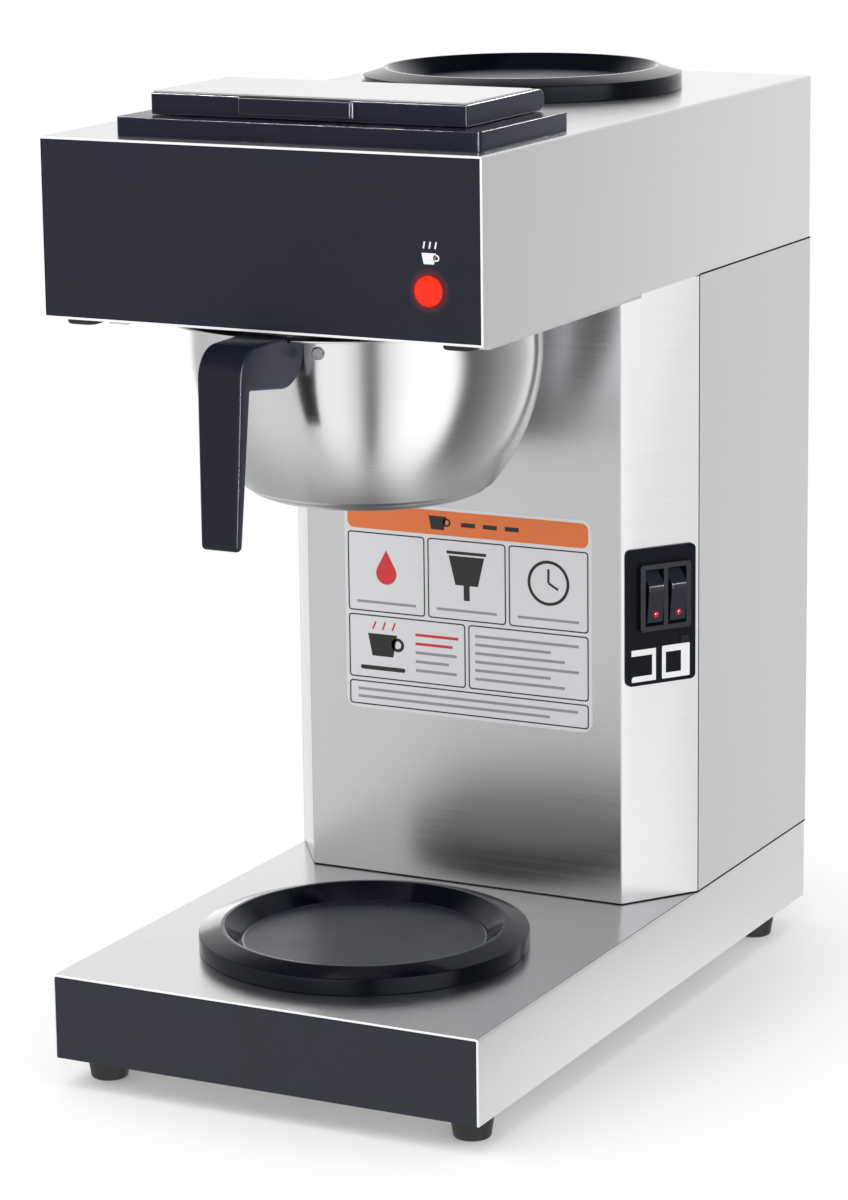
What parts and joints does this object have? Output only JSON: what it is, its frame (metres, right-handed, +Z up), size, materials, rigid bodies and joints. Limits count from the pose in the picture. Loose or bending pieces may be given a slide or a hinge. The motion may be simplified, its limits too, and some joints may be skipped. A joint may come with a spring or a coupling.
{
  "type": "commercial coffee maker",
  "caption": "Pour-over coffee brewer: pillar between base and head, slide-out brew funnel with handle, hinged fill lid, warmer plates, rocker switches and a brewing light.",
  "frame": {"origin": "on the counter, under the middle of the machine", "axes": "+X to the right seen from the front, +Y to the back, +Z up"},
  "size_m": [0.2062, 0.3879, 0.4301],
  "materials": {
    "brushed_steel": "brushed, satin",
    "polished_steel": "polished, faint turning marks",
    "head_panel_coat": "satin, fine orange peel",
    "base_panel_coat": "satin, fine orange peel",
    "warmer_coat": "gloss, baked on",
    "black_plastic": "moulded, satin",
    "switch_plastic": "moulded, smooth",
    "switch_plate_coat": "satin",
    "red_lens": "smooth, lit from behind",
    "black_rubber": "moulded, matt",
    "tube_rubber": "translucent white, matt",
    "zinc_screw": "bright plated",
    "heater_steel": "heat tinted",
    "brass": "turned",
    "terminal_plastic": "moulded"
  },
  "bodies": {
    "machine": {"back_panel": "brushed_steel", "back_panel_screws": "zinc_screw", "base_bottom_plate": "brushed_steel", "base_front_panel": "base_panel_coat", "base_shell": "brushed_steel", "basin_strainer": "polished_steel", "cold_water_tube": "tube_rubber", "cord_inlet": "black_plastic", "fill_basin": "polished_steel", "foot_screws": "zinc_screw", "funnel_rail_left": "brushed_steel", "funnel_rail_right": "brushed_steel", "head_bumpers": "black_rubber", "head_front_panel": "head_panel_coat", "head_shell": "brushed_steel", "head_underside_plate": "brushed_steel", "hot_water_tube": "tube_rubber", "lid_frame": "brushed_steel", "lid_hinge_pins": "zinc_screw", "light_body": "switch_plastic", "light_lens": "red_lens", "lower_warmer_element": "heater_steel", "lower_warmer_pan": "heater_steel", "lower_warmer_plate": "warmer_coat", "lower_warmer_ring": "warmer_coat", "pillar_front_cover": "brushed_steel", "pillar_side_left": "brushed_steel", "pillar_side_right": "brushed_steel", "rail_screws": "zinc_screw", "rubber_feet": "black_rubber", "spray_head": "polished_steel", "spray_head_nut": "brass", "switch_blades": "brass", "switch_housing": "switch_plastic", "switch_plate": "switch_plate_coat", "tank_cover": "brushed_steel", "tank_cover_screws": "zinc_screw", "tank_gasket": "black_rubber", "tank_heater": "heater_steel", "tank_stand": "brushed_steel", "tank_thermostat": "black_plastic", "terminal_block": "terminal_plastic", "upper_warmer_element": "heater_steel", "upper_warmer_pan": "heater_steel", "upper_warmer_plate": "warmer_coat", "upper_warmer_ring": "warmer_coat", "warmer_nuts": "zinc_screw", "water_tank": "brushed_steel"},
    "lid": {"lid_cover": "black_plastic", "lid_top_plate": "polished_steel"},
    "funnel": {"funnel_bowl": "polished_steel", "funnel_handle": "black_plastic", "handle_bracket": "polished_steel", "handle_rivets": "zinc_screw", "handle_screws": "zinc_screw", "filter_basket": "polished_steel"},
    "left_rocker": {"rocker_left": "switch_plastic", "rocker_left_jewel": "red_lens"},
    "right_rocker": {"rocker_right": "switch_plastic", "rocker_right_jewel": "red_lens"}
  },
  "joints": [
    {"name": "lid_hinge", "type": "hinge", "parent": "machine", "child": "lid", "pos_m": [0.012, -0.0678, 0.4248], "axis": [-1, 0, 0], "range_deg": [0, 100]},
    {"name": "funnel_slide", "type": "slide", "parent": "machine", "child": "funnel", "axis": [0, -1, 0], "range_m": [0, 0.19]},
    {"name": "left_rocker_tilt", "type": "hinge", "parent": "machine", "child": "left_rocker", "pos_m": [0.08845, 0.03776, 0.193], "axis": [0.5716, 0.8205, 0], "range_deg": [0, 22]},
    {"name": "right_rocker_tilt", "type": "hinge", "parent": "machine", "child": "right_rocker", "pos_m": [0.0952, 0.04744, 0.193], "axis": [0.5716, 0.8205, 0], "range_deg": [0, 22]}
  ]
}
